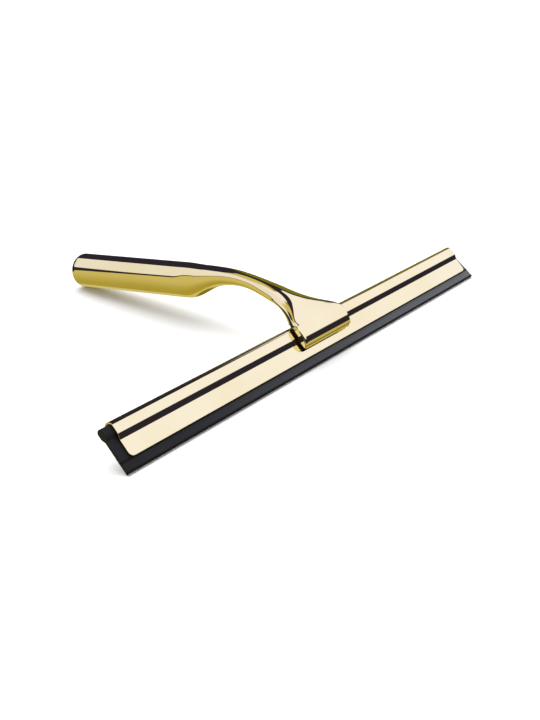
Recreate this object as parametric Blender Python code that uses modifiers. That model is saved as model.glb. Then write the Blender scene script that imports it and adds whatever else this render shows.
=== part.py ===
"""Window cleaning squeegee: a polished brass-plated handle with a hooded head, a folded channel and a rubber blade.

It lies as it is put down: the rubber's lip and the underside of the grip's end both touch the surface at Z = 0.
X runs along the blade, +Y from the blade to the end of the grip, +Z is up. The origin is at the middle of the
base of the whole squeegee's box. Lengths are in millimetres until mm() turns them into metres.
"""
import math

import bmesh
import bpy
from mathutils import Matrix, Vector

MM = 0.001
GAP = 0.3                        # space left between faces that touch

# Channel and blade, in the inclined frame: s runs up the blade from its lip, t is square to it, forwards
TILT = math.radians(45)
CHANNEL_LENGTH = 250.0
BLADE_LENGTH = 259.0
LIP_HALF = 0.6                   # half thickness of the rubber at its working edge
WEB_HALF = 0.7                   # half thickness of the rubber between the flanks
BULB_RADIUS = 1.65
SHEET = 0.7
FLANK_HALF = 1.6                 # outer face of a flank from the middle plane
BEAD_RADIUS = 2.6
BEAD_S = 17.1                    # centre of the bead's round top
FLANK_FOOT = 4.6
FLANK_HEAD = 11.0                # the flank is flat from its foot to here
BEAD_FOOT = 15.1                 # and the bead is full from here up
CORNER_RADIUS = 2.0
STRIP_END = 20.0                 # the flanks' clear stretches start here, outside the saddle
BULB_FOOT = 15.4                 # the rubber widens from its web to its bulb up to here
WEB_HEAD = 13.6
BLADE_SKEW = 0.25                # the rubber's right end is cut this much aslant

# Saddle, liner and clamp
SADDLE_HALF = 17.3
ROOM_HALF = 22.0                 # the cutter for the channel's room: wider, lower and deeper than the saddle
ROOM_FOOT = -8.0
ROOM_BACK = -14.0
POCKET_GAP = 0.4                 # clearance round the plate's upper arm
HOLE_START = 8.0                 # the screw holes' cutter starts clear behind the plate
RELIEF_RUN = 1.4                 # the plate's front steps towards the casting over this length
PLATE_EDGE = 0.3
TRIM_TOP = 32.0
PAD_INSET = 0.8                  # the pad's edges stand this far inside the plate's
HEAD_GAP = 0.25
SCREW_POINT = 0.5
SOCKET_DEPTH = 1.2
SOCKET_TIP = 1.6
LINER = 0.7
LINER_HALF = 15.8
LINER_FOOT = 9.2
LINER_TURN = 55.0                # how far round the bead the liner reaches, in degrees
LINER_CORNER = 0.6
PAD_THICKNESS = 0.8
PLATE_BACK = -5.0                # outer face of the clamp plate
PLATE_LOW = -(FLANK_HALF + 2 * GAP + PAD_THICKNESS)
PLATE_HIGH = -1.8                # face of its thicker head, which seats under the saddle
PLATE_FOOT = 8.6
PLATE_TOP = 26.8
SHOULDER = 19.2                  # the plate is wide below this and narrow above it
WIDE_HALF = 15.8
NARROW_HALF = 6.2
SCREW_X = 3.2
SCREW_S = 24.2
SCREW_SHANK = 1.45
SCREW_HEAD = 2.75
SCREW_LENGTH = 6.5
HEAD_RIM = 0.3                   # straight edge of the countersunk head
HEAD_FOOT = 1.75                 # depth where the cone meets the shank
SOCKET_RADIUS = 1.3

# Grip
GRIP_RADIUS = 8.4
GRIP_PITCH = math.radians(7.6)   # the grip rises this much towards the blade
CAP_ROUND = 3.6                  # radius of the cap's rim
CAP_Y = 151.8                    # where the rim's rounding starts, from the lip
CAP_STEP = 0.6                   # straight part of the cap before that
BORE_RADIUS = 5.6
BORE_DEPTH = 66.0
SPIGOT_LENGTH = 6.5
BORE_TAPER = 3.0                 # chamfer at the bore's blind end
GROOVE_RADIUS = 4.2
GROOVE_START = 2.4
GROOVE_END = 4.0
SEAL_RADIUS = 0.5
GRIP_FRONT = 81.0                # the grip is a plain round bar from here to its cap
CAP_Z = CAP_ROUND + (GRIP_RADIUS - CAP_ROUND) * math.cos(GRIP_PITCH)
FRONT_Y = -2 * LIP_HALF * math.sin(TILT)
BACK_Y = CAP_Y + (GRIP_RADIUS - CAP_ROUND) * math.sin(GRIP_PITCH) + CAP_ROUND
MIDDLE_Y = (FRONT_Y + BACK_Y) / 2

BRASS = (0.83, 0.66, 0.30)
BLACK = (0.02, 0.02, 0.022)


def mm(x, y, z):
    """A point of the side view, given in millimetres from the lip, as a place in metres."""
    return Vector((x, y - MIDDLE_Y, z)) * MM


def inclined(x, s, t):
    """A point given along (s) and square to (t) the blade."""
    t += LIP_HALF
    y = s * math.cos(TILT) - t * math.sin(TILT)
    z = s * math.sin(TILT) + t * math.cos(TILT)
    return mm(x, y, z)


def clear_scene():
    for old in list(bpy.data.objects):
        bpy.data.objects.remove(old, do_unlink=True)


def new_collection(name):
    collection = bpy.data.collections.new(name)
    bpy.context.scene.collection.children.link(collection)
    return collection


def new_material(name, colour, roughness, metallic):
    material = bpy.data.materials.new(name)
    material.use_nodes = True
    shader = material.node_tree.nodes["Principled BSDF"]
    shader.inputs["Base Color"].default_value = (*colour, 1.0)
    shader.inputs["Roughness"].default_value = roughness
    shader.inputs["Metallic"].default_value = metallic
    material.diffuse_color = (*colour, 1.0)
    return material


def new_object(name, mesh, collection, colour=BRASS, roughness=0.08, metallic=1.0):
    obj = bpy.data.objects.new(name, mesh)
    collection.objects.link(obj)
    if collection is parts:
        mesh.materials.clear()
        mesh.materials.append(new_material(name + "_finish", colour, roughness, metallic))
    else:
        obj.hide_render = True
        obj.display_type = "WIRE"
    return obj


def mesh_from(name, bm, smooth_angle=35):
    bmesh.ops.recalc_face_normals(bm, faces=bm.faces)
    mesh = bpy.data.meshes.new(name)
    bm.to_mesh(mesh)
    bm.free()
    mesh.shade_smooth()
    mesh.set_sharp_from_angle(angle=math.radians(smooth_angle))
    return mesh


def add_modifier(obj, kind, **settings):
    modifier = obj.modifiers.new(kind.title(), kind)
    for key, value in settings.items():
        setattr(modifier, key, value)
    return modifier


def cut(obj, cutter):
    add_modifier(obj, "BOOLEAN", operation="DIFFERENCE", solver="EXACT", object=cutter)


def prism(name, outline, half_length, collection, place=inclined, **look):
    """A closed outline of the side view, drawn out along X to both sides of the middle."""
    bm = bmesh.new()
    face = bm.faces.new([bm.verts.new(place(-half_length, a, b)) for a, b in outline])
    drawn = bmesh.ops.extrude_face_region(bm, geom=[face])["geom"]
    moved = [item for item in drawn if isinstance(item, bmesh.types.BMVert)]
    bmesh.ops.translate(bm, vec=Vector((2 * half_length * MM, 0, 0)), verts=moved)
    return new_object(name, mesh_from(name, bm), collection, **look)


def block(name, low, high, collection, **look):
    """A box between two corners, each given as x, s, t."""
    size = [high[i] - low[i] for i in range(3)]
    bm = bmesh.new()
    bmesh.ops.create_cube(bm, size=1.0)
    for vert in bm.verts:
        x, s, t = (low[i] + (vert.co[i] + 0.5) * size[i] for i in range(3))
        vert.co = inclined(x, s, t)
    return new_object(name, mesh_from(name, bm), collection, **look)


def turned(name, profile, matrix, collection, steps=32, **look):
    """A profile of radius and height, listed from its top down its outer side, turned about local Z."""
    bm = bmesh.new()
    points = [bm.verts.new((radius * MM, 0, height * MM)) for radius, height in profile]
    for first, second in zip(points, points[1:]):
        bm.edges.new((first, second))
    mesh = bpy.data.meshes.new(name)
    bm.to_mesh(mesh)
    bm.free()
    obj = new_object(name, mesh, collection, **look)
    obj.matrix_world = matrix
    add_modifier(obj, "SCREW", steps=steps, render_steps=steps, use_merge_vertices=True,
                 merge_threshold=0.00001, use_smooth_shade=True)
    return obj


def channel_side(offset, side, foot, turn=90.0):
    """Half of the channel's outer profile, moved outwards by offset: up a flank, and round the bead by turn."""
    steps = 8
    points = [(foot, side * (FLANK_HALF + offset))]
    for i in range(steps + 1):
        part = i / steps
        ease = part * part * (3 - 2 * part)
        s = FLANK_HEAD + (BEAD_FOOT - FLANK_HEAD) * part
        points.append((s, side * (FLANK_HALF + (BEAD_RADIUS - FLANK_HALF) * ease + offset)))
    radius = BEAD_RADIUS + offset
    arc_steps = max(2, round(turn / 11.25))
    for i in range(arc_steps + 1):
        angle = math.radians(turn) * i / arc_steps
        points.append((BEAD_S + radius * math.sin(angle), side * radius * math.cos(angle)))
    return points


def sheet(name, path, half_length, thickness, corner, splits=(), **look):
    """A path of the side view drawn along X as a bent sheet: its corners rounded, its faces split at some X."""
    bm = bmesh.new()
    near = [bm.verts.new(inclined(-half_length, s, t)) for s, t in path]
    edges = [bm.edges.new(pair) for pair in zip(near, near[1:])]
    drawn = bmesh.ops.extrude_edge_only(bm, edges=edges)["geom"]
    far = [item for item in drawn if isinstance(item, bmesh.types.BMVert)]
    bmesh.ops.translate(bm, vec=Vector((2 * half_length * MM, 0, 0)), verts=far)
    bm.verts.ensure_lookup_table()
    corners = [vert for vert in bm.verts if len(vert.link_edges) == 2]
    bmesh.ops.bevel(bm, geom=corners, offset=corner * MM, segments=5, profile=0.5, affect="VERTICES")
    for x in splits:
        every = bm.verts[:] + bm.edges[:] + bm.faces[:]
        bmesh.ops.bisect_plane(bm, geom=every, plane_co=(x * MM, 0, 0), plane_no=(1, 0, 0))
    obj = new_object(name, mesh_from(name, bm), parts, **look)
    add_modifier(obj, "SOLIDIFY", thickness=thickness * MM, offset=0.0, use_even_offset=True)
    return obj


def build_channel():
    middle = -SHEET / 2
    front = channel_side(middle, 1, FLANK_FOOT)
    back = channel_side(middle, -1, FLANK_FOOT)
    path = front + back[-2::-1]
    sheet("squeegee_channel", path, CHANNEL_LENGTH / 2, SHEET, CORNER_RADIUS, splits=(-STRIP_END, STRIP_END))


def build_blade():
    """The rubber: a bulb that the bead holds, a web between the flanks and a thin lip below them."""
    waist = (WEB_HEAD + BULB_FOOT) / 2 - 0.2
    half = [(0.0, LIP_HALF), (FLANK_FOOT, WEB_HALF), (WEB_HEAD, WEB_HALF),
            (waist, (WEB_HALF + BULB_RADIUS) / 2), (BULB_FOOT, BULB_RADIUS)]
    arc = []
    for i in range(13):
        angle = math.pi * i / 12
        arc.append((BEAD_S + BULB_RADIUS * math.sin(angle), BULB_RADIUS * math.cos(angle)))
    outline = half + arc + [(s, -t) for s, t in reversed(half)]
    blade = prism("rubber_blade", outline, BLADE_LENGTH / 2, parts, colour=BLACK, roughness=0.6, metallic=0.0)
    for vert in blade.data.vertices:
        if vert.co.x > 0:
            along = (vert.co.y + MIDDLE_Y * MM) * math.cos(TILT) + vert.co.z * math.sin(TILT)
            vert.co.x -= BLADE_SKEW * along


def build_liner():
    """A thin liner between the saddle and the channel, so that the clamp doesn't mark the polish."""
    middle = GAP + LINER / 2
    front = channel_side(middle, 1, LINER_FOOT, LINER_TURN)
    sheet("saddle_liner", front, LINER_HALF, LINER, LINER_CORNER, colour=BLACK, roughness=0.5, metallic=0.0)


# The handle's side view from the grip to the saddle's lip, from the lip of the blade: top point, bottom point,
# half width, and how much of the half width and half height its rounded corners take
HANDLE_STATIONS = (
    ((74.5, 26.6), (76.8, 10.3), 7.8, 1.0, 1.0),
    ((70.5, 27.15), (72.5, 12.9), 7.2, 1.0, 1.0),
    ((66.0, 27.5), (68.0, 16.1), 6.5, 1.0, 1.0),
    ((61.0, 27.95), (62.5, 19.3), 5.8, 1.0, 1.0),
    ((55.5, 28.15), (56.0, 21.0), 5.3, 1.0, 1.0),
    ((50.0, 27.95), (50.0, 21.9), 5.0, 1.0, 1.0),
    ((44.5, 27.4), (44.0, 21.75), 5.0, 1.0, 1.0),
    ((38.5, 26.55), (38.0, 20.5), 5.4, 1.0, 1.0),
    ((33.0, 25.6), (32.5, 19.2), 6.3, 0.95, 1.0),
    ((28.0, 24.4), (27.6, 18.3), 7.0, 0.9, 1.0),
    ((23.5, 23.0), (23.6, 17.4), 8.4, 0.75, 1.0),
    ((19.4, 21.5), (19.6, 16.3), 10.4, 0.55, 0.95),
    ((15.2, 20.0), (15.9, 15.1), 13.2, 0.35, 0.85),
    ((11.4, 18.7), (12.8, 14.0), 16.3, 0.15, 0.6),
    ((7.9, 17.6), (12.0, 12.6), SADDLE_HALF, 0.07, 0.35),
    ((5.6, 15.9), (10.8, 11.2), SADDLE_HALF, 0.07, 0.35),
    ((4.2, 14.1), (9.6, 9.8), SADDLE_HALF, 0.07, 0.35),
    ((3.2, 12.1), (8.4, 8.4), SADDLE_HALF, 0.07, 0.35),
    ((2.7, 10.2), (7.2, 7.0), SADDLE_HALF, 0.07, 0.35),
    ((3.0, 8.5), (6.0, 5.6), SADDLE_HALF, 0.07, 0.35),
)
STATION_STEPS = 3
CORNER_STEPS = 7


def grip_axis(along):
    """A point on the grip's axis, measured from the start of the cap's rounding, towards its end."""
    return CAP_Y + along * math.cos(GRIP_PITCH), CAP_Z - along * math.sin(GRIP_PITCH)


def grip_station(along):
    y, z = grip_axis(along)
    up_y, up_z = GRIP_RADIUS * math.sin(GRIP_PITCH), GRIP_RADIUS * math.cos(GRIP_PITCH)
    return (y + up_y, z + up_z), (y - up_y, z - up_z), GRIP_RADIUS, 1.0, 1.0


def blend_stations(keys, steps):
    """Stations on smooth curves through the given ones (Catmull-Rom)."""
    flat = [(*top, *bottom, half, wide, tall) for top, bottom, half, wide, tall in keys]
    result = []
    for i in range(len(flat) - 1):
        before, start = flat[max(i - 1, 0)], flat[i]
        end, after = flat[i + 1], flat[min(i + 2, len(flat) - 1)]
        for step in range(steps):
            u = step / steps
            result.append([0.5 * (2 * b + (c - a) * u + (2 * a - 5 * b + 4 * c - d) * u ** 2
                                  + (3 * b - a - 3 * c + d) * u ** 3)
                           for a, b, c, d in zip(before, start, end, after)])
    result.append(list(flat[-1]))
    return result


def section(station):
    """One closed ring of the handle: a rectangle whose corners are quarter ellipses."""
    top_y, top_z, bottom_y, bottom_z, half, wide, tall = station
    middle = Vector((0, (top_y + bottom_y) / 2, (top_z + bottom_z) / 2))
    up = Vector((0, top_y - bottom_y, top_z - bottom_z)) / 2
    round_x, round_up = half * wide, tall
    ring = []
    for quarter in range(4):
        sign_x = 1 if quarter in (0, 3) else -1
        sign_up = 1 if quarter in (0, 1) else -1
        for i in range(CORNER_STEPS):
            angle = math.pi / 2 * (quarter + (i + 0.5) / CORNER_STEPS)
            x = sign_x * (half - round_x) + round_x * math.cos(angle)
            height = sign_up * (1 - round_up) + round_up * math.sin(angle)
            place = middle + up * height
            ring.append(mm(x, place.y, place.z))
    return ring


def build_handle():
    """The casting: grip, arched neck, fan and saddle as one loft, then its bore, saddle and screw holes."""
    full = (CAP_Y - GRIP_FRONT) / math.cos(GRIP_PITCH)
    grip = [grip_station(-CAP_STEP), grip_station(-0.5 * full), grip_station(-0.94 * full), grip_station(-full)]
    stations = blend_stations(grip[:3], 1)[:-1] + blend_stations(grip[2:] + list(HANDLE_STATIONS), STATION_STEPS)
    bm = bmesh.new()
    rings = [[bm.verts.new(point) for point in section(station)] for station in stations]
    for first, second in zip(rings, rings[1:]):
        for i in range(len(first)):
            j = (i + 1) % len(first)
            bm.faces.new((first[i], first[j], second[j], second[i]))
    bm.faces.new(rings[0])
    bm.faces.new(rings[-1])
    handle = new_object("handle_casting", mesh_from("handle_casting", bm), parts)

    above = CAP_ROUND                # the cutter starts clear of the casting's end
    bore = [(0, above), (BORE_RADIUS, above), (BORE_RADIUS, BORE_TAPER - BORE_DEPTH),
            (BORE_RADIUS - BORE_TAPER, -BORE_DEPTH), (0, -BORE_DEPTH)]
    cut(handle, turned("grip_bore", bore, grip_matrix(0.0), cutters))
    cut(handle, saddle_cutter())
    seat = PLATE_HIGH + GAP
    half = NARROW_HALF + POCKET_GAP
    pocket = block("plate_pocket", (-half, BEAD_S, ROOM_BACK), (half, PLATE_TOP + POCKET_GAP, seat), cutters)
    cut(handle, pocket)
    for side in (-1, 1):
        radius, depth = SCREW_SHANK + GAP, SCREW_LENGTH + GAP
        hole = [(0, HOLE_START), (radius, HOLE_START), (radius, -depth), (0, -depth)]
        cut(handle, turned("screw_hole", hole, screw_matrix(side), cutters, steps=20))
    return handle


def saddle_cutter():
    """The room that the saddle leaves for the liner and the channel, open at the back and below."""
    front = channel_side(2 * GAP + LINER, 1, ROOM_FOOT)
    back = [(s, -t) for s, t in reversed(channel_side(2 * GAP + LINER, 1, BEAD_S)[-9:])]
    return prism("saddle_room", front + back[1:] + [(BEAD_S, ROOM_BACK), (ROOM_FOOT, ROOM_BACK)],
                 ROOM_HALF, cutters)


def grip_matrix(along):
    """Local Z along the grip, towards its end."""
    y, z = grip_axis(along)
    turn = Matrix.Rotation(-math.pi / 2 - GRIP_PITCH, 4, "X")
    return Matrix.Translation(mm(0, y, z)) @ turn


def screw_matrix(side):
    """Local Z out of the clamp plate's back, square to the blade."""
    turn = Matrix.Rotation(math.pi + TILT, 4, "X")
    return Matrix.Translation(inclined(side * SCREW_X, SCREW_S, PLATE_BACK)) @ turn


def build_cap():
    """The end cap: a round rim flush with the grip, and a spigot with a groove for its seal."""
    flat = GRIP_RADIUS - CAP_ROUND
    rim = [(flat + CAP_ROUND * math.sin(math.radians(a)), CAP_ROUND * math.cos(math.radians(a)))
           for a in range(0, 91, 15)]
    seat = -CAP_STEP + GAP
    spigot = BORE_RADIUS - GAP
    profile = [(0, CAP_ROUND)] + rim + [
        (GRIP_RADIUS, seat), (spigot, seat), (spigot, -GROOVE_START), (GROOVE_RADIUS, -GROOVE_START),
        (GROOVE_RADIUS, -GROOVE_END), (spigot, -GROOVE_END), (spigot, -SPIGOT_LENGTH), (0, -SPIGOT_LENGTH)]
    turned("grip_end_cap", profile, grip_matrix(0.0), parts)
    middle_radius = (GROOVE_RADIUS + BORE_RADIUS) / 2
    middle_height = -(GROOVE_START + GROOVE_END) / 2
    ring = [(middle_radius + SEAL_RADIUS * math.cos(math.radians(a)),
             middle_height + SEAL_RADIUS * math.sin(math.radians(a))) for a in range(90, -271, -45)]
    turned("end_cap_seal", ring, grip_matrix(0.0), parts, colour=BLACK, roughness=0.6, metallic=0.0)


def build_clamp():
    """The plate that presses the channel into the saddle, its pad and its two countersunk screws."""
    outline = [(PLATE_FOOT, PLATE_LOW), (SHOULDER - GAP, PLATE_LOW), (SHOULDER + RELIEF_RUN, PLATE_HIGH),
               (PLATE_TOP, PLATE_HIGH), (PLATE_TOP, PLATE_BACK), (PLATE_FOOT, PLATE_BACK)]
    plate = prism("clamp_plate", outline, WIDE_HALF, parts)
    add_modifier(plate, "BEVEL", width=PLATE_EDGE * MM, segments=2, limit_method="ANGLE", angle_limit=math.radians(50))
    for side in (-1, 1):
        low, high = sorted((side * NARROW_HALF, side * ROOM_HALF))
        trim = block("plate_trim", (low, SHOULDER, ROOM_BACK), (high, TRIM_TOP, -ROOM_BACK), cutters)
        cut(plate, trim)
        wide, shank = SCREW_HEAD + HEAD_GAP, SCREW_SHANK + GAP
        hole = [(0, HOLE_START), (wide, HOLE_START), (wide, -HEAD_RIM), (shank, -HEAD_FOOT),
                (shank, -HOLE_START), (0, -HOLE_START)]
        cut(plate, turned("screw_clearance", hole, screw_matrix(side), cutters, steps=20))
    pad_back = PLATE_LOW + GAP
    half = WIDE_HALF - PAD_INSET
    block("clamp_pad", (-half, PLATE_FOOT + PAD_INSET, pad_back), (half, FLANK_HEAD, pad_back + PAD_THICKNESS),
          parts, colour=BLACK, roughness=0.6, metallic=0.0)
    for side, name in ((-1, "left_clamp_screw"), (1, "right_clamp_screw")):
        profile = [(0, 0), (SCREW_HEAD, 0), (SCREW_HEAD, -HEAD_RIM), (SCREW_SHANK, -HEAD_FOOT),
                   (SCREW_SHANK, SCREW_POINT - SCREW_LENGTH), (SCREW_SHANK - SCREW_POINT, -SCREW_LENGTH),
                   (0, -SCREW_LENGTH)]
        screw = turned(name, profile, screw_matrix(side), parts, steps=24, colour=BRASS, roughness=0.2)
        hexagon = [(0, HOLE_START), (SOCKET_RADIUS, HOLE_START), (SOCKET_RADIUS, -SOCKET_DEPTH),
                   (0, -SOCKET_TIP)]
        socket = turned(name + "_socket", hexagon, screw_matrix(side), cutters, steps=6)
        cut(screw, socket)


clear_scene()
parts = new_collection("window_cleaning_squeegee")
cutters = new_collection("cutters")
build_channel()
build_blade()
build_liner()
build_handle()
build_cap()
build_clamp()
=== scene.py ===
import math

import bmesh
import bpy
from mathutils import Matrix, Vector


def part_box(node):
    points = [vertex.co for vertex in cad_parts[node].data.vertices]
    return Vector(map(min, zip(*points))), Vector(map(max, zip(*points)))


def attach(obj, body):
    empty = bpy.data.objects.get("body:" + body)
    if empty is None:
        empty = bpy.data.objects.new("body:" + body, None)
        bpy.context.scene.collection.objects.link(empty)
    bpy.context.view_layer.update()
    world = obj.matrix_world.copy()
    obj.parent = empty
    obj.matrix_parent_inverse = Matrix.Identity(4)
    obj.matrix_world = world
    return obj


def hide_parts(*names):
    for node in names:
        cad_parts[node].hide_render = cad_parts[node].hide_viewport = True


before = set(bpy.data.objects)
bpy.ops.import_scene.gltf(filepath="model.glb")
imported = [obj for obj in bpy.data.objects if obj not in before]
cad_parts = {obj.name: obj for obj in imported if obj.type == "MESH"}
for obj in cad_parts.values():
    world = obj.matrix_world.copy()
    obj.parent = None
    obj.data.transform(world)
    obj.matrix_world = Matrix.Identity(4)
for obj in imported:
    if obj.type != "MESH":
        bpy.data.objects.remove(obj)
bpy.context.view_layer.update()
print("frame loaded:", len(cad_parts), "CAD nodes")

# Places are worked out from the frame in millimetres of the side view: y from the lip's back corner, z up.
# On the inclined blade, s runs up from the lip and t stands square to it, towards the front.
mil = 0.001
tilt = math.radians(45)
bladeLow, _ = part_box("rubber_blade")
lipHalf = 0.6
lipY = bladeLow.y + 2 * lipHalf * mil * math.sin(tilt)


def sidePoint(x, y, z):
    return Vector((x * mil, lipY + y * mil, z * mil))


def bladePoint(x, s, t):
    t += lipHalf
    return sidePoint(x, s * math.cos(tilt) - t * math.sin(tilt), s * math.sin(tilt) + t * math.cos(tilt))


# shader helpers

class Strand:
    def __init__(self, tree, socket):
        self.tree = tree
        self.socket = socket

    def maths(self, operation, *others):
        values = dict(enumerate((self,) + others))
        return addNode(self.tree, "ShaderNodeMath", {"operation": operation}, values)

    def __add__(self, other):
        return self.maths("ADD", other)

    def __sub__(self, other):
        return self.maths("SUBTRACT", other)

    def __rsub__(self, other):
        return (self * -1.0) + other

    def __mul__(self, other):
        return self.maths("MULTIPLY", other)

    def __truediv__(self, other):
        return self.maths("DIVIDE", other)

    def step(self, low, high):         # 0 below low, 1 above high, smooth between
        settings = {"interpolation_type": "SMOOTHSTEP"}
        return addNode(self.tree, "ShaderNodeMapRange", settings, {0: self, 1: low, 2: high, 3: 0.0, 4: 1.0})

    __radd__ = __add__
    __rmul__ = __mul__


def addNode(tree, kind, settings, values, output=0):
    node = tree.nodes.new(kind)
    for key, value in settings.items():
        setattr(node, key, value)
    for key, value in values.items():
        if isinstance(value, Strand):
            tree.links.new(value.socket, node.inputs[key])
        else:
            node.inputs[key].default_value = value
    return Strand(tree, node.outputs[output])


def mixColours(tree, amount, first, second):
    colours = [(*c, 1.0) if isinstance(c, tuple) else c for c in (first, second)]
    values = {0: amount, 6: colours[0], 7: colours[1]}
    return addNode(tree, "ShaderNodeMix", {"data_type": "RGBA"}, values, 2)


def newFinish(name, constants):
    material = bpy.data.materials.new(name)
    material.use_nodes = True
    tree = material.node_tree
    shader = tree.nodes["Principled BSDF"]
    for key, value in constants.items():
        shader.inputs[key].default_value = value
    place = addNode(tree, "ShaderNodeTexCoord", {}, {}, "Object")
    return material, tree, shader, place


def noise(tree, place, scale, detail=2.0, stretch=None):
    if stretch:
        place = addNode(tree, "ShaderNodeMapping", {}, {"Vector": place, "Scale": stretch})
    return addNode(tree, "ShaderNodeTexNoise", {}, {"Vector": place, "Scale": scale, "Detail": detail}, "Fac")


def feed(tree, shader, links):
    for key, strand in links.items():
        tree.links.new(strand.socket, shader.inputs[key])


def wornEdges(tree, low, high):        # 1 on outer edges and corners, 0 on open faces
    pointiness = addNode(tree, "ShaderNodeNewGeometry", {}, {}, "Pointiness")
    return pointiness.step(low, high)


# finishes

brassLook = {
    "colour": (0.88, 0.73, 0.38), "deep": (0.84, 0.66, 0.30), "worn": (0.90, 0.78, 0.50),
    "roughness": 0.022, "hazeScale": 38.0, "haze": 0.02, "scratchScale": 24.0, "scratch": 0.03,
    "waveScale": 90.0, "wave": 0.000006, "edge": (0.53, 0.62), "edgeHaze": 0.06, "edgeWear": 0.6,
    "scratchFrom": (0.62, 0.8), "cloudFrom": (0.35, 0.75), "cloudShare": 0.5,
}
rubberLook = {
    "dark": (0.006, 0.006, 0.008), "light": (0.014, 0.014, 0.016), "roughness": 0.46,
    "grainScale": 1600.0, "grain": 0.000008, "lineScale": 900.0, "cloudScale": 45.0, "cloudFrom": (0.3, 0.8),
    "cloudHaze": 0.08, "lineHaze": 0.06, "cutHaze": 0.2,
    "constants": {
        "Metallic": 0.0, "IOR": 1.5, "Specular IOR Level": 0.22, "Specular Tint": (1.0, 0.94, 0.68, 1.0)},
}
plasticLook = {
    "dark": (0.016, 0.016, 0.018), "light": (0.035, 0.035, 0.04), "roughness": 0.5, "cloudScale": 160.0,
    "cloudFrom": (0.35, 0.7), "cloudHaze": 0.15, "grainScale": 2400.0, "grain": 0.00001,
    "edge": (0.52, 0.6), "edgeWear": 0.4,
}


def polishedBrass(name, look=brassLook, grain=(1.0, 1.0, 1.0), rougher=0.0):
    material, tree, shader, place = newFinish(name, {"Metallic": 1.0})
    haze = noise(tree, place, look["hazeScale"], 3.0)
    fine = noise(tree, place, look["scratchScale"], 6.0, grain)
    edge = wornEdges(tree, *look["edge"])
    rough = look["roughness"] + rougher + haze * look["haze"]
    rough = rough + fine.step(*look["scratchFrom"]) * look["scratch"] + edge * look["edgeHaze"]
    cloud = haze.step(*look["cloudFrom"]) * look["cloudShare"]
    tone = mixColours(tree, cloud, look["colour"], look["deep"])
    tone = mixColours(tree, edge * look["edgeWear"], tone, look["worn"])
    swell = noise(tree, place, look["waveScale"], 1.0)
    bump = addNode(tree, "ShaderNodeBump", {}, {"Strength": 1.0, "Distance": look["wave"], "Height": swell})
    feed(tree, shader, {"Base Color": tone, "Roughness": rough, "Normal": bump})
    return material


def blackRubber(name, look=rubberLook, blade=None):
    material, tree, shader, place = newFinish(name, look["constants"])
    cloud = noise(tree, place, look["cloudScale"], 4.0)
    grain = noise(tree, place, look["grainScale"], 2.0)
    lines = noise(tree, place, look["lineScale"], 2.0, (0.01, 1.0, 1.0))
    tone = mixColours(tree, cloud.step(*look["cloudFrom"]), look["dark"], look["light"])
    rough = look["roughness"] + cloud * look["cloudHaze"] + lines * look["lineHaze"]
    if blade:                          # painted sheen: lighter towards the +X end; painted shade: near black at the lip's foot and under the channel's edge
        x, y, z = (addNode(tree, "ShaderNodeSeparateXYZ", {}, {0: place}, axis) for axis in "XYZ")
        up = ((y - lipY) * math.cos(tilt) + z * math.sin(tilt)) / mil
        # painted shade masks: the band just under the channel's foot, and the lip's foot
        paintedShadeUnderChannel = up.step(*blade["foot"]) * (1 - up.step(*blade["cover"]))
        clear = up.step(*blade["lip"]) * (1 - paintedShadeUnderChannel)
        # painted sheen: the rubber's colour lightens towards +X in place of its glancing reflection
        tone = mixColours(tree, x.step(*blade["span"]), tone, blade["paintedSheen"])
        # painted shade: near black along the lip's foot and under the channel's edge
        tone = mixColours(tree, clear, blade["edge"], tone)
        rough = rough + (1 - clear) * look["cutHaze"]
    height = grain * 0.5 + lines
    bump = addNode(tree, "ShaderNodeBump", {}, {"Strength": 1.0, "Distance": look["grain"], "Height": height})
    feed(tree, shader, {"Base Color": tone, "Roughness": rough, "Normal": bump})
    return material


def mattPlastic(name, look=plasticLook):
    material, tree, shader, place = newFinish(name, {"Metallic": 0.0, "IOR": 1.48})
    cloud = noise(tree, place, look["cloudScale"], 4.0)
    grain = noise(tree, place, look["grainScale"], 2.0)
    worn = wornEdges(tree, *look["edge"]) * look["edgeWear"]
    tone = mixColours(tree, cloud.step(*look["cloudFrom"]) + worn, look["dark"], look["light"])
    rough = look["roughness"] + cloud * look["cloudHaze"]
    bump = addNode(tree, "ShaderNodeBump", {}, {"Strength": 1.0, "Distance": look["grain"], "Height": grain})
    feed(tree, shader, {"Base Color": tone, "Roughness": rough, "Normal": bump})
    return material


castingFinish = polishedBrass("castingPolish", grain=(1.0, 0.08, 1.0))
capFinish = polishedBrass("capPolish", grain=(1.0, 0.3, 1.0))
sheetFinish = polishedBrass("sheetPolish", grain=(0.05, 1.0, 1.0))
clampFinish = polishedBrass("clampPolish", rougher=0.06)
screwFinish = polishedBrass("screwTurned", rougher=0.1)
# the blade's finish lightens towards +X as painted sheen, and its edge colour is painted shade, near black at
# the lip and under the channel
bladeFinish = blackRubber("bladeRubber", blade={
    "span": (-0.13, 0.15), "paintedSheen": (0.13, 0.13, 0.14), "edge": (0.001, 0.001, 0.001),
    "lip": (0.7, 1.15), "foot": (3.85, 4.3), "cover": (4.8, 5.2)})
sealFinish = blackRubber("sealRubber")
padFinish = blackRubber("padRubber")
linerFinish = mattPlastic("linerPlastic")
print("finishes made")


# mesh helpers

def finishMesh(bm, name, merge=0.000002):
    bmesh.ops.remove_doubles(bm, verts=bm.verts, dist=merge)
    bmesh.ops.recalc_face_normals(bm, faces=bm.faces)
    mesh = bpy.data.meshes.new(name)
    bm.to_mesh(mesh)
    bm.free()
    return mesh


def newObject(name, mesh):
    obj = bpy.data.objects.new(name, mesh)
    bpy.context.scene.collection.objects.link(obj)
    return obj


def modify(obj, kind, **settings):
    modifier = obj.modifiers.new(kind.title(), kind)
    for key, value in settings.items():
        setattr(modifier, key, value)
    return modifier


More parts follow.
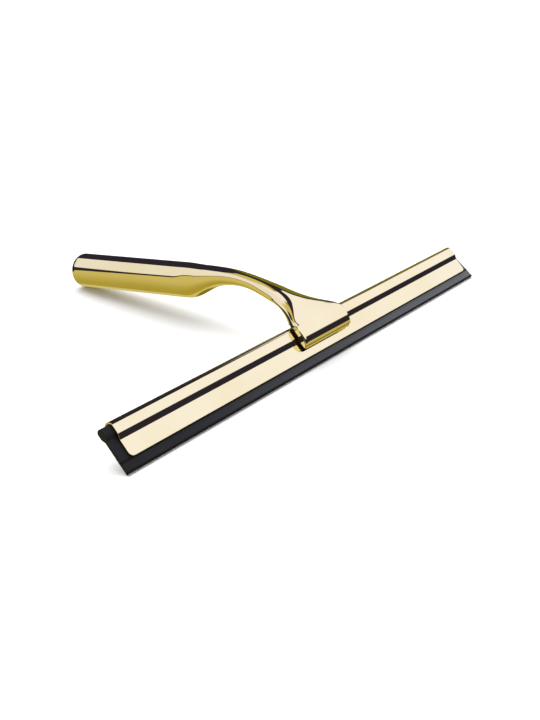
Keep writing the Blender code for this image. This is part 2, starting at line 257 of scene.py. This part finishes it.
def settle(obj, cutters=()):           # makes the modifiers' result the mesh and clears the cutters away
    graph = bpy.context.evaluated_depsgraph_get()
    mesh = bpy.data.meshes.new_from_object(obj.evaluated_get(graph))
    obj.modifiers.clear()
    obj.data = mesh
    for cutter in cutters:
        bpy.data.objects.remove(cutter)


def roundEdges(obj, width, angle, segments=3):
    limit = math.radians(angle)
    modify(obj, "BEVEL", width=width * mil, segments=segments, limit_method="ANGLE", angle_limit=limit)
    settle(obj)


def cutWith(obj, cutters):
    for cutter in cutters:
        modify(obj, "BOOLEAN", operation="DIFFERENCE", solver="EXACT", object=cutter)
    settle(obj, cutters)


def shade(obj, finish, angle=30):
    obj.data.materials.clear()
    obj.data.materials.append(finish)
    obj.data.shade_smooth()
    obj.data.set_sharp_from_angle(angle=math.radians(angle))
    modify(obj, "WEIGHTED_NORMAL", keep_sharp=True, weight=80)
    settle(obj)


def mount(obj, body, node):
    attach(obj, body)
    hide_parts(node)
    print(obj.name, "done:", len(obj.data.polygons), "faces")


def drawnOut(bm, geometry, shift):
    if isinstance(geometry[0], bmesh.types.BMFace):
        drawn = bmesh.ops.extrude_face_region(bm, geom=geometry)["geom"]
    else:
        drawn = bmesh.ops.extrude_edge_only(bm, edges=geometry)["geom"]
    moved = [item for item in drawn if isinstance(item, bmesh.types.BMVert)]
    bmesh.ops.translate(bm, vec=shift, verts=moved)


def prism(outline, low, high):         # an outline of the side view, from one X to the other
    bm = bmesh.new()
    face = bm.faces.new([bm.verts.new(bladePoint(low, s, t)) for s, t in outline])
    drawnOut(bm, [face], Vector(((high - low) * mil, 0, 0)))
    return bm


def spun(profile, matrix, steps):      # radius and height pairs, turned about the matrix's Z
    bm = bmesh.new()
    points = [bm.verts.new((radius * mil, 0, height * mil)) for radius, height in profile]
    edges = [bm.edges.new(pair) for pair in zip(points, points[1:])]
    bmesh.ops.spin(bm, geom=points + edges, axis=(0, 0, 1), cent=(0, 0, 0), angle=2 * math.pi, steps=steps,
                   use_merge=True)
    bmesh.ops.remove_doubles(bm, verts=bm.verts, dist=0.000002)
    bmesh.ops.transform(bm, matrix=matrix, verts=bm.verts)
    return bm


def cutter(bm):
    obj = newObject("cutter", finishMesh(bm, "cutter"))
    obj.hide_render = True
    return obj


# channel: one strip folded to a round bead and two flanks

channelShape = {
    "half": 125.0, "sheet": 0.7, "flank": 1.6, "bead": 2.6, "beadCentre": 17.1, "foot": 4.6, "head": 11.5,
    "beadFoot": 14.5, "corner": 2.0, "easeSteps": 18, "arcSteps": 22, "rim": 0.13,
}


def channelSide(offset, side, foot, turn=90.0):
    c = channelShape
    points = [(foot, side * (c["flank"] + offset))]
    for i in range(c["easeSteps"] + 1):
        part = i / c["easeSteps"]
        ease = part * part * (3 - 2 * part)
        out = c["flank"] + (c["bead"] - c["flank"]) * ease + offset
        points.append((c["head"] + (c["beadFoot"] - c["head"]) * part, side * out))
    radius = c["bead"] + offset
    for i in range(c["arcSteps"] + 1):
        angle = math.radians(turn) * i / c["arcSteps"]
        points.append((c["beadCentre"] + radius * math.sin(angle), side * radius * math.cos(angle)))
    return points


def bentSheet(name, path, half, thickness, corner, rim):
    bm = bmesh.new()
    near = [bm.verts.new(bladePoint(-half, s, t)) for s, t in path]
    edges = [bm.edges.new(pair) for pair in zip(near, near[1:])]
    drawnOut(bm, edges, Vector((2 * half * mil, 0, 0)))
    corners = [vert for vert in bm.verts if len(vert.link_edges) == 2]
    bmesh.ops.bevel(bm, geom=corners, offset=corner * mil, segments=8, profile=0.5, affect="VERTICES",
                    material=-1)
    obj = newObject(name, finishMesh(bm, name))
    modify(obj, "SOLIDIFY", thickness=thickness * mil, offset=0.0, use_even_offset=True)
    roundEdges(obj, rim, 50)
    return obj


def buildChannel():
    c = channelShape
    middle = -c["sheet"] / 2
    front = channelSide(middle, 1, c["foot"])
    back = channelSide(middle, -1, c["foot"])
    obj = bentSheet("channelStrip", front + back[-2::-1], c["half"], c["sheet"], c["corner"], c["rim"])
    shade(obj, sheetFinish)
    mount(obj, "channel", "squeegee_channel")


buildChannel()


# blade: bulb, web and lip in one extrusion

bladeShape = {
    "half": 129.5, "lip": lipHalf, "web": 0.7, "bulb": 1.65, "bulbCentre": 17.1, "bulbFoot": 15.4,
    "webHead": 13.6, "skew": 0.22, "edge": 0.14, "waistDrop": 0.2, "arcSteps": 32,
}


def buildBlade():
    b = bladeShape
    waist = (b["webHead"] + b["bulbFoot"]) / 2 - b["waistDrop"]
    half = [(0.0, b["lip"]), (channelShape["foot"], b["web"]), (b["webHead"], b["web"]),
            (waist, (b["web"] + b["bulb"]) / 2), (b["bulbFoot"], b["bulb"])]
    angles = [math.pi * i / b["arcSteps"] for i in range(b["arcSteps"] + 1)]
    arc = [(b["bulbCentre"] + b["bulb"] * math.sin(angle), b["bulb"] * math.cos(angle)) for angle in angles]
    bm = prism(half + arc + [(s, -t) for s, t in reversed(half)], -b["half"], b["half"])
    upBlade = Vector((0, math.cos(tilt), math.sin(tilt)))
    foot = bladePoint(0, 0, -lipHalf)
    for vert in bm.verts:
        if vert.co.x > 0:
            vert.co.x -= b["skew"] * (vert.co - foot).dot(upBlade)
    obj = newObject("bladeExtrusion", finishMesh(bm, "bladeExtrusion"))
    roundEdges(obj, b["edge"], 50)
    shade(obj, bladeFinish)
    mount(obj, "blade", "rubber_blade")


buildBlade()


# liner between the saddle and the channel

linerShape = {
    "half": 15.8, "thickness": 0.7, "foot": 9.2, "turn": 55.0, "corner": 0.6, "gap": 0.3, "rim": 0.1,
}


def buildLiner():
    n = linerShape
    path = channelSide(n["gap"] + n["thickness"] / 2, 1, n["foot"], n["turn"])
    obj = bentSheet("linerStrip", path, n["half"], n["thickness"], n["corner"], n["rim"])
    shade(obj, linerFinish)
    mount(obj, "handle", "saddle_liner")


buildLiner()


# handle: grip, arched neck, fan and saddle, drawn as one skin over key sections

gripShape = {
    "radius": 8.4, "pitch": math.radians(7.6), "front": 81.0, "round": 3.6, "roundStart": 151.8, "step": 0.6,
    "bore": 5.6, "boreDepth": 66.0, "spigot": 6.5, "groove": 4.2, "grooveStart": 2.4, "grooveEnd": 4.0,
    "joint": 0.03, "seal": 0.5, "boreChamfer": 3.0, "spigotGap": 0.3, "spigotLead": 0.5,
}
saddleHalf = 17.3
# top and bottom point of each section in the side view, half width, and the share that its corners round
handleSections = (
    ((74.5, 26.6), (76.8, 10.3), 7.8, 1.0, 1.0),
    ((70.5, 27.15), (72.5, 12.9), 7.2, 1.0, 1.0),
    ((66.0, 27.5), (68.0, 16.1), 6.5, 1.0, 1.0),
    ((61.0, 27.95), (62.5, 19.3), 5.8, 1.0, 1.0),
    ((55.5, 28.15), (56.0, 21.0), 5.3, 1.0, 1.0),
    ((50.0, 27.95), (50.0, 21.9), 5.0, 1.0, 1.0),
    ((44.5, 27.4), (44.0, 21.75), 5.0, 1.0, 1.0),
    ((38.5, 26.55), (38.0, 20.5), 5.4, 1.0, 1.0),
    ((33.0, 25.6), (32.5, 19.2), 6.3, 1.0, 1.0),
    ((28.0, 24.4), (27.6, 18.3), 7.0, 1.0, 1.0),
    ((23.5, 23.0), (23.6, 17.4), 8.4, 0.92, 1.0),
    ((19.4, 21.5), (19.6, 16.3), 10.4, 0.66, 0.95),
    ((15.2, 20.0), (15.9, 15.1), 13.2, 0.35, 0.85),
    ((11.4, 18.7), (12.8, 14.0), 16.3, 0.15, 0.6),
    ((7.9, 17.6), (12.0, 12.6), saddleHalf, 0.07, 0.35),
    ((5.6, 15.9), (10.8, 11.2), saddleHalf, 0.07, 0.35),
    ((4.3, 14.3), (9.6, 9.8), saddleHalf, 0.07, 0.35),
    ((3.25, 12.7), (8.6, 8.6), saddleHalf, 0.07, 0.35),
    ((2.6, 11.2), (7.8, 7.7), saddleHalf, 0.07, 0.35),
    ((2.4, 9.8), (6.9, 6.6), saddleHalf, 0.07, 0.35),
)
handleDetail = {"around": 72, "levels": 2, "flatShare": 0.36, "lipRound": 0.9, "lipSteps": 3}
lastSection = ((2.7, 8.5), (6.0, 5.6), saddleHalf, 0.07, 0.35)


def gripCentre(along):                 # on the grip's axis, from where the end's rounding starts
    g = gripShape
    start = g["round"] + (g["radius"] - g["round"]) * math.cos(g["pitch"])
    return g["roundStart"] + along * math.cos(g["pitch"]), start - along * math.sin(g["pitch"])


def gripSection(along):
    g = gripShape
    y, z = gripCentre(along)
    upY, upZ = g["radius"] * math.sin(g["pitch"]), g["radius"] * math.cos(g["pitch"])
    return (y + upY, z + upZ), (y - upY, z - upZ), g["radius"], 1.0, 1.0


def gripMatrix():                      # Z along the grip, towards its end
    y, z = gripCentre(0.0)
    return Matrix.Translation(sidePoint(0, y, z)) @ Matrix.Rotation(-math.pi / 2 - gripShape["pitch"], 4, "X")


def roundedLip(section):               # sections that round the saddle's foot off
    d = handleDetail
    (topY, topZ), (bottomY, bottomZ), half, wide, tall = section
    middle = Vector(((topY + bottomY) / 2, (topZ + bottomZ) / 2))
    up = Vector((topY, topZ)) - middle
    onward = Vector((up.y, -up.x)).normalized()
    if onward.y > 0:
        onward.negate()
    result = []
    for i in range(d["lipSteps"] + 1):
        angle = math.pi / 2 * i / d["lipSteps"]
        inset = d["lipRound"] * (1 - math.cos(angle))
        centre = middle - onward * d["lipRound"] * (1 - math.sin(angle))
        rise = up * (1 - inset / up.length)
        result.append((tuple(centre + rise), tuple(centre - rise), half - inset, wide, tall))
    return result


def sectionPoint(section, turn):       # turn runs 0 to 1 round the section, from its +X side over the top
    (topY, topZ), (bottomY, bottomZ), half, wide, tall = section
    quarter, part = divmod(turn * 4, 1.0)
    if quarter % 2:
        part = 1 - part                # part now runs from the side to the top or bottom
    sideFlat = handleDetail["flatShare"] * (1 - tall)
    topFlat = handleDetail["flatShare"] * (1 - wide)
    if part < sideFlat:
        x, height = half, (1 - tall) * part / sideFlat
    elif part > 1 - topFlat:
        x, height = half * (1 - wide) * (1 - part) / topFlat, 1.0
    else:
        angle = math.pi / 2 * (part - sideFlat) / (1 - sideFlat - topFlat)
        x = half * (1 - wide + wide * math.cos(angle))
        height = 1 - tall + tall * math.sin(angle)
    if quarter in (1, 2):
        x = -x
    if quarter in (2, 3):
        height = -height
    y = (topY + bottomY + (topY - bottomY) * height) / 2
    z = (topZ + bottomZ + (topZ - bottomZ) * height) / 2
    return sidePoint(x, y, z)


def handleSkin():
    g, d = gripShape, handleDetail
    full = (g["roundStart"] - g["front"]) / math.cos(g["pitch"])
    end = g["step"] + g["joint"] / 2
    straight = [end, end + 0.1, end + 0.5] + [full * share for share in (0.1, 0.3, 0.5, 0.7, 0.86, 0.94, 1.0)]
    sections = [gripSection(-along) for along in straight] + list(handleSections) + roundedLip(lastSection)
    bm = bmesh.new()
    bmesh.ops.create_grid(bm, x_segments=d["around"], y_segments=len(sections) - 1, size=0.5)
    for vert in bm.verts:
        turn = (vert.co.x + 0.5) % 1.0
        row = round((vert.co.y + 0.5) * (len(sections) - 1))
        vert.co = sectionPoint(sections[row], round(turn * d["around"]) / d["around"] % 1.0)
    obj = newObject("handleCasting", finishMesh(bm, "handleCasting"))
    modify(obj, "SUBSURF", levels=d["levels"], render_levels=d["levels"])
    settle(obj)
    bm = bmesh.new()
    bm.from_mesh(obj.data)
    bmesh.ops.holes_fill(bm, edges=[edge for edge in bm.edges if edge.is_boundary], sides=0)
    obj.data = finishMesh(bm, "handleCasting")
    return obj


roomFoot, roomBack, roomSpare = -8.0, -14.0, 5.0     # how far the cutters reach past the casting


def saddleRoom():
    n = linerShape
    offset = 2 * n["gap"] + n["thickness"]
    front = channelSide(offset, 1, roomFoot)
    arc = channelSide(offset, -1, roomFoot)[-channelShape["arcSteps"] - 1:]
    outline = front + arc[-2::-1] + [(channelShape["beadCentre"], roomBack), (roomFoot, roomBack)]
    return cutter(prism(outline, -saddleHalf - roomSpare, saddleHalf + roomSpare))


clampShape = {
    "back": -5.0, "low": -3.0, "high": -1.8, "foot": 8.6, "top": 26.8, "shoulder": 19.2, "wide": 15.8,
    "narrow": 6.2, "corner": 1.1, "rim": 0.28, "screwX": 3.2, "screwS": 24.2, "shank": 1.45, "head": 2.75,
    "headRim": 0.3, "headFoot": 1.75, "padInset": 0.8, "length": 6.5, "pitch": 0.5, "socket": 1.3, "gap": 0.3,
    "pocketGap": 0.4, "pocketSpare": 0.5, "headGap": 0.25, "groove": 0.22, "padThick": 0.8, "padValley": 0.55,
    "ribs": 4, "padRim": 0.05,
}


def screwMatrix(side):                 # Z out of the clamp plate's back
    c = clampShape
    return Matrix.Translation(bladePoint(side * c["screwX"], c["screwS"], c["back"])) @ Matrix.Rotation(
        math.pi + tilt, 4, "X")


def buildHandle():
    g, c = gripShape, clampShape
    obj = handleSkin()
    chamfer, floor = g["boreChamfer"], -g["boreDepth"]
    profile = [(0, 2), (g["bore"], 2), (g["bore"], floor + chamfer), (g["bore"] - chamfer, floor), (0, floor)]
    bore = spun(profile, gripMatrix(), 64)
    pocketHalf = c["narrow"] + c["pocketGap"]
    seat = c["high"] + c["gap"]
    low, high = channelShape["beadCentre"], c["top"] + c["pocketSpare"]
    pocket = prism([(low, roomBack), (high, roomBack), (high, seat), (low, seat)], -pocketHalf, pocketHalf)
    radius, depth = c["shank"] + c["gap"], -c["length"] - c["gap"]
    holes = []
    for side in (-1, 1):
        holes.append(cutter(spun([(0, 8), (radius, 8), (radius, depth), (0, depth)], screwMatrix(side), 32)))
    cutWith(obj, [cutter(bore), saddleRoom(), cutter(pocket)] + holes)
    shade(obj, castingFinish, 38)
    mount(obj, "handle", "handle_casting")


buildHandle()


# end cap and its seal

def buildCap():
    g = gripShape
    flat = g["radius"] - g["round"]
    rim = [(flat + g["round"] * math.sin(math.pi * i / 48), g["round"] * math.cos(math.pi * i / 48))
           for i in range(25)]
    seat = -g["step"] + g["joint"] / 2
    spigot = g["bore"] - g["spigotGap"]
    lead = g["spigotLead"]
    profile = [(0, g["round"])] + rim + [
        (g["radius"], seat), (spigot, seat), (spigot, -g["grooveStart"]), (g["groove"], -g["grooveStart"]),
        (g["groove"], -g["grooveEnd"]), (spigot, -g["grooveEnd"]), (spigot, -g["spigot"] + lead),
        (spigot - lead, -g["spigot"]), (0, -g["spigot"])]
    obj = newObject("gripEndCap", finishMesh(spun(profile, gripMatrix(), 128), "gripEndCap"))
    shade(obj, capFinish)
    mount(obj, "handle", "grip_end_cap")
    middle = (g["groove"] + g["bore"]) / 2
    height = -(g["grooveStart"] + g["grooveEnd"]) / 2
    angles = [math.pi * i / 12 for i in range(25)]
    ring = [(middle + g["seal"] * math.cos(angle), height + g["seal"] * math.sin(angle)) for angle in angles]
    seal = newObject("capSealRing", finishMesh(spun(ring, gripMatrix(), 64), "capSealRing"))
    shade(seal, sealFinish, 60)
    mount(seal, "handle", "end_cap_seal")


buildCap()


# clamp plate, pad and screws

def buildClampPlate():
    c = clampShape
    outline = [(-c["wide"], c["foot"]), (c["wide"], c["foot"]), (c["wide"], c["shoulder"]),
               (c["narrow"], c["shoulder"]), (c["narrow"], c["top"]), (-c["narrow"], c["top"]),
               (-c["narrow"], c["shoulder"]), (-c["wide"], c["shoulder"])]
    bm = bmesh.new()
    face = bm.faces.new([bm.verts.new(bladePoint(x, s, c["back"])) for x, s in outline])
    corners = list(bm.verts)
    bmesh.ops.bevel(bm, geom=corners, offset=c["corner"] * mil, segments=6, profile=0.5, affect="VERTICES",
                    material=-1)
    thickness = bladePoint(0, 0, c["high"]) - bladePoint(0, 0, c["back"])
    drawnOut(bm, list(bm.faces), thickness)
    obj = newObject("clampPlate", finishMesh(bm, "clampPlate"))
    reliefFoot, reliefTop = c["foot"] - 2, c["high"] + 2
    ramp = c["shoulder"] + 1.4
    relief = prism([(reliefFoot, c["low"]), (c["shoulder"] - c["gap"], c["low"]), (ramp, c["high"]),
                    (ramp, reliefTop), (reliefFoot, reliefTop)], -c["wide"] - roomSpare, c["wide"] + roomSpare)
    cutWith(obj, [cutter(relief)])
    roundEdges(obj, c["rim"], 40)
    wide, shank = c["head"] + c["headGap"], c["shank"] + c["gap"]
    mouth = wide + c["headRim"]
    profile = [(0, 3), (mouth, 3), (mouth, 0), (wide, -c["headRim"]), (shank, -c["headFoot"]),
               (shank, -8), (0, -8)]
    cutWith(obj, [cutter(spun(profile, screwMatrix(side), 48)) for side in (-1, 1)])
    shade(obj, clampFinish)
    mount(obj, "clamp", "clamp_plate")


def buildClampPad():
    c = clampShape
    back = c["low"] + c["gap"]
    face, valley = back + c["padThick"], back + c["padValley"]
    low, high = c["foot"] + c["padInset"], channelShape["head"]
    half = c["wide"] - c["padInset"]
    pitch = (high - low) / c["ribs"]
    rib = ((0.0, face), (0.62, face), (0.72, valley), (0.9, valley))
    crest = [(low + pitch * (i + share), t) for i in range(c["ribs"]) for share, t in rib]
    bm = prism(crest + [(high, valley), (high, back), (low, back)], -half, half)
    obj = newObject("clampPad", finishMesh(bm, "clampPad"))
    roundEdges(obj, c["padRim"], 40, segments=2)
    shade(obj, padFinish)
    mount(obj, "clamp", "clamp_pad")


def buildScrew(side, name, body, node):
    c = clampShape
    threadStart, threadEnd = -c["headFoot"] - 0.3, -c["length"] + 0.5
    root = c["shank"] - c["groove"]
    thread = []
    for i in range(int((threadStart - threadEnd) / c["pitch"])):
        top = threadStart - i * c["pitch"]
        thread += [(c["shank"], top), (c["shank"], top - 0.08), (root, top - 0.2), (root, top - 0.3),
                   (c["shank"], top - 0.42)]
    profile = [(0, 0), (c["head"] - 0.08, 0), (c["head"], -0.08), (c["head"], -c["headRim"]),
               (c["shank"], -c["headFoot"])] + thread + [
        (c["shank"], threadEnd), (c["shank"] - 0.5, -c["length"]), (0, -c["length"])]
    obj = newObject(name, finishMesh(spun(profile, screwMatrix(side), 64), name))
    socket = spun([(0, 2), (c["socket"], 2), (c["socket"], -1.2), (0, -1.6)], screwMatrix(side), 6)
    cutWith(obj, [cutter(socket)])
    shade(obj, screwFinish, 25)
    mount(obj, body, node)


buildClampPlate()
buildClampPad()
buildScrew(-1, "leftClampScrew", "left_screw", "left_clamp_screw")
buildScrew(1, "rightClampScrew", "right_screw", "right_clamp_screw")


# floor, light and camera

studio = {
    "floor": 8.0, "floorColour": (0.95, 0.95, 0.955), "fill": 0.64, "sunPower": 4.2, "sunSpread": 84,
    "sunFrom": (0.50, 0.60, 0.75), "backdrop": (1.0, 1.0, 1.0),
    "bright": (1.08, 1.17, 1.72), "softer": (0.95, 1.01, 1.36),
    "dark": (0.026, 0.024, 0.055), "olive": (0.22, 0.21, 0.02),
    "gold": (0.69, 0.64, 0.30), "lowGold": (0.46, 0.41, 0.08),
}
# The room that polished faces reflect, in degrees: turn about Z from +X, and rise above the floor.
# A pair says where a change starts and where it ends.
roomShape = {
    "lean": 10, "leanFrom": 33, "backSide": (-2, 2), "leftSide": (77.5, 80.5),
    "frontEdge": 5, "frontSlope": -0.38, "frontHighest": 24, "frontFoot": -2,
    "backEdge": 53, "backDrop": -7, "backDropTurn": (22, 40), "backLift": 4, "backLiftTurn": (52, 62),
    "backFoot": -14, "leftEdge": 32, "leftDrop": -17, "leftDropTurn": (100, 122),
    "leftFoot": -14, "leftLift": 6, "leftLiftTurn": (98, 125), "farLift": 50, "farTurn": (129, 139),
    "rimTurn": (25, 38), "rimHeight": 13, "goldTurn": (20, 100), "goldRise": (-60, 5), "brightTurn": (-10, 95),
    "nearIn": (9, 13), "nearOut": (33, 40), "nearRise": (28, 34),
    "panelIn": (-6, -4), "panelOut": (20.5, 22.5), "panelFoot": (35.4, 36.2), "panelTop": (40.6, 41.4),
}


def buildFloor():
    bm = bmesh.new()
    bmesh.ops.create_grid(bm, x_segments=2, y_segments=2, size=studio["floor"] / 2)
    bmesh.ops.translate(bm, vec=Vector((0, 0, -0.00004)), verts=bm.verts)
    floor = newObject("floor", finishMesh(bm, "floor"))
    material, tree, shader, place = newFinish("floorPaint", {"Roughness": 0.7, "Specular IOR Level": 0.1})
    cloud = noise(tree, place, 3.0, 3.0)
    tone = mixColours(tree, cloud * 0.3, studio["floorColour"], (0.92, 0.92, 0.92))
    feed(tree, shader, {"Base Color": tone})
    floor.data.materials.append(material)
    floor.visible_glossy = False


def buildWorld():
    world = bpy.data.worlds.new("studioRoom")
    bpy.context.scene.world = world
    world.use_nodes = True
    tree = world.node_tree
    background = tree.nodes["Background"]
    direction = addNode(tree, "ShaderNodeTexCoord", {}, {}, "Generated")
    x, y, z = (addNode(tree, "ShaderNodeSeparateXYZ", {}, {0: direction}, axis) for axis in "XYZ")
    turn = y.maths("ARCTAN2", x) * math.degrees(1)
    rise = z.maths("ARCSINE") * math.degrees(1)
    r = roomShape
    # the dark part of the room stands at the back and right; its left edge leans over as it rises
    lean = r["lean"] - (rise - r["leanFrom"]).maths("MAXIMUM", 0.0)
    atLeft = turn.step(*r["leftSide"])
    atBack = (turn - lean).step(*r["backSide"]) * (1 - atLeft)
    atFront = 1 - atBack - atLeft
    farLeft = turn.step(*r["farTurn"]) * r["farLift"]
    frontEdge = (turn * r["frontSlope"] + r["frontEdge"]).maths("MINIMUM", r["frontHighest"])
    backDrop = turn.step(*r["backDropTurn"]) * r["backDrop"]
    backEdge = backDrop + turn.step(*r["backLiftTurn"]) * r["backLift"] + r["backEdge"]
    leftEdge = turn.step(*r["leftDropTurn"]) * r["leftDrop"] + farLeft + r["leftEdge"]
    leftFoot = turn.step(*r["leftLiftTurn"]) * r["leftLift"] + farLeft + r["leftFoot"]
    goldRim = atBack * turn.step(*r["rimTurn"])
    topEdge = atFront * frontEdge + atBack * backEdge + atLeft * leftEdge
    bottomEdge = atFront * r["frontFoot"] + atBack * r["backFoot"] + atLeft * leftFoot
    # what lies below the dark part, then the dark part itself, then what stands above it
    room = mixColours(tree, turn.step(*r["goldTurn"]), studio["olive"], studio["lowGold"])
    room = mixColours(tree, (rise * (1 - atBack)).step(*r["goldRise"]), room, studio["gold"])
    room = mixColours(tree, (rise - bottomEdge).step(-1.2, 1.2), room, studio["dark"])
    nearBack = turn.step(*r["nearIn"]) * (1 - turn.step(*r["nearOut"])) * (1 - rise.step(*r["nearRise"]))
    room = mixColours(tree, nearBack, room, studio["olive"])
    room = mixColours(tree, goldRim * (rise - backEdge).step(-1, 1), room, studio["gold"])
    bright = mixColours(tree, turn.step(*r["brightTurn"]), studio["bright"], studio["softer"])
    room = mixColours(tree, (rise - topEdge - goldRim * r["rimHeight"]).step(-1, 1), room, bright)
    # a low bright panel beside the dark part
    panelAcross = turn.step(*r["panelIn"]) * (1 - turn.step(*r["panelOut"]))
    panelUp = rise.step(*r["panelFoot"]) * (1 - rise.step(*r["panelTop"]))
    room = mixColours(tree, panelAcross * panelUp, room, bright)
    ray = {key: addNode(tree, "ShaderNodeLightPath", {}, {}, key) for key in ("Is Camera Ray", "Is Glossy Ray")}
    fill = (studio["fill"],) * 3
    shown = mixColours(tree, ray["Is Glossy Ray"], fill, room)
    shown = mixColours(tree, ray["Is Camera Ray"], shown, studio["backdrop"])
    tree.links.new(shown.socket, background.inputs["Color"])


def buildSun():
    light = bpy.data.lights.new("sun", "SUN")
    light.energy = studio["sunPower"]
    light.angle = math.radians(studio["sunSpread"])
    obj = bpy.data.objects.new("sun", light)
    bpy.context.scene.collection.objects.link(obj)
    obj.matrix_world = Vector(studio["sunFrom"]).to_track_quat("Z", "Y").to_matrix().to_4x4()
    obj.visible_glossy = False


cameraPlace = {"place": (-357.5, -232.0, 185.4), "forward": (0.7342, 0.5479, -0.4035), "lens": 53.25}


def buildCamera():
    data = bpy.data.cameras.new("view")
    data.lens = cameraPlace["lens"]
    data.sensor_width = 36
    data.clip_start = 0.01
    obj = bpy.data.objects.new("view", data)
    bpy.context.scene.collection.objects.link(obj)
    aim = Vector(cameraPlace["forward"]).to_track_quat("-Z", "Y").to_matrix().to_4x4()
    obj.matrix_world = Matrix.Translation(sidePoint(*cameraPlace["place"])) @ aim
    bpy.context.scene.camera = obj


buildFloor()
buildWorld()
buildSun()
buildCamera()
bpy.context.scene.view_settings.view_transform = "Standard"
bpy.context.scene.view_settings.look = "None"
print("studio done")
